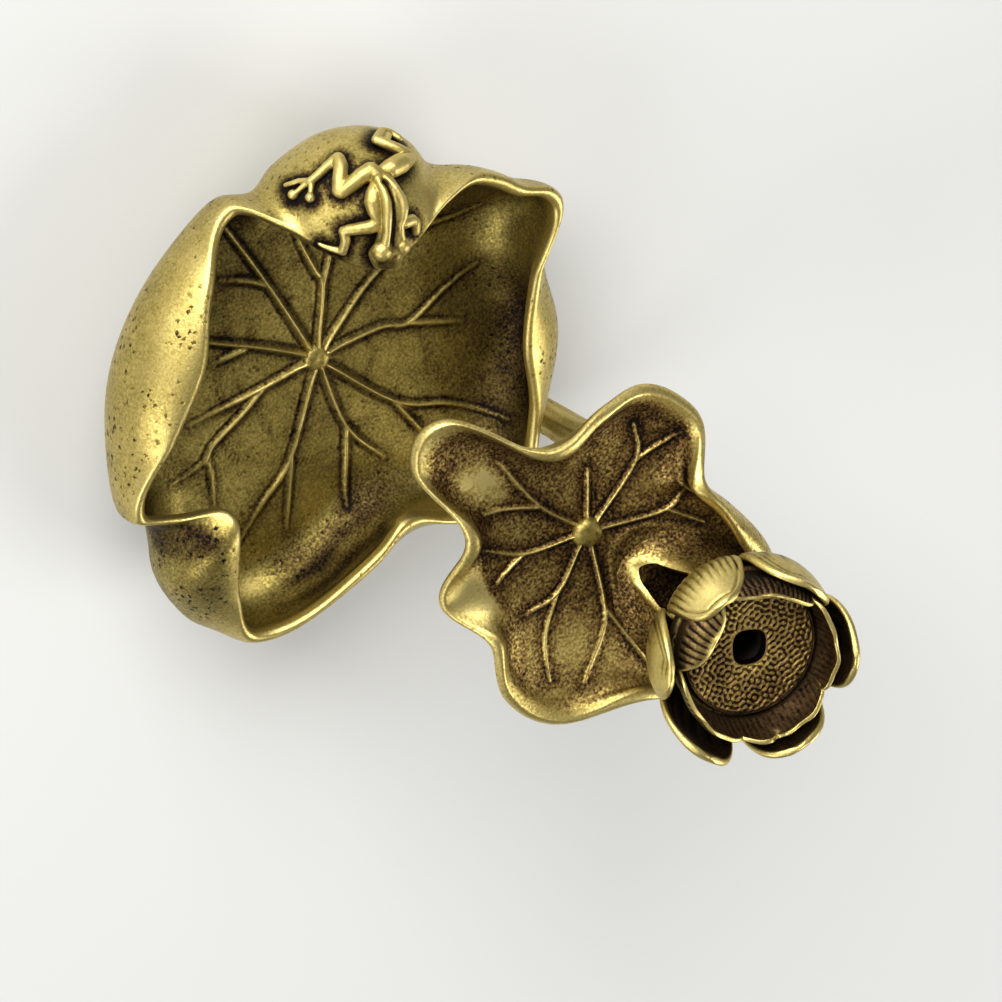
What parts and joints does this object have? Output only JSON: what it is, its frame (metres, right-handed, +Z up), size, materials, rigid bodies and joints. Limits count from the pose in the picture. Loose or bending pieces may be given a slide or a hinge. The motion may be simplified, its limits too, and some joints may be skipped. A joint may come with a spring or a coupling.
{
  "type": "backflow incense burner",
  "caption": "Brass backflow incense burner: a curled lotus leaf bowl, a smaller leaf as smoke tray, a lotus flower with a pitted pod for the cone, and a frog on the rim.",
  "frame": {"origin": "middle of the flat underside of the foot, on the table", "axes": "+Z up as the burner stands in use, +Y towards the flower at the back, +X to the right seen from the front"},
  "size_m": [0.0766, 0.0871, 0.075],
  "materials": {
    "leaf_brass": "antique cast brass, rubbed bright outside and dark in the bowl",
    "tray_brass": "antique cast brass, brown patina inside and bright on rim and veins",
    "petal_brass": "antique cast brass, dark inside the cup and bright on the petal edges",
    "pod_brass": "antique cast brass, brown and pitted",
    "frog_brass": "antique cast brass, rubbed bright with dark edges",
    "stalk_brass": "antique cast brass",
    "boss_brass": "rubbed brass"
  },
  "bodies": {
    "base": {"base_foot": "stalk_brass", "large_leaf": "leaf_brass", "leaf_rivet": "boss_brass", "frog": "frog_brass", "stalk": "stalk_brass", "small_leaf": "tray_brass", "tray_rivet": "boss_brass", "smoke_neck": "tray_brass"},
    "flower": {"flower_base": "petal_brass", "outer_petal_1": "petal_brass", "outer_petal_2": "petal_brass", "outer_petal_3": "petal_brass", "outer_petal_4": "petal_brass", "outer_petal_5": "petal_brass", "outer_petal_6": "petal_brass", "inner_petal_1": "petal_brass", "inner_petal_2": "petal_brass", "inner_petal_3": "petal_brass", "inner_petal_4": "petal_brass", "inner_petal_5": "petal_brass", "seed_pod": "pod_brass"}
  },
  "joints": [
    {"name": "flower_lift", "type": "slide", "parent": "base", "child": "flower", "axis": [0, -0.1392, 0.9903], "range_m": [0, 0.02]}
  ]
}
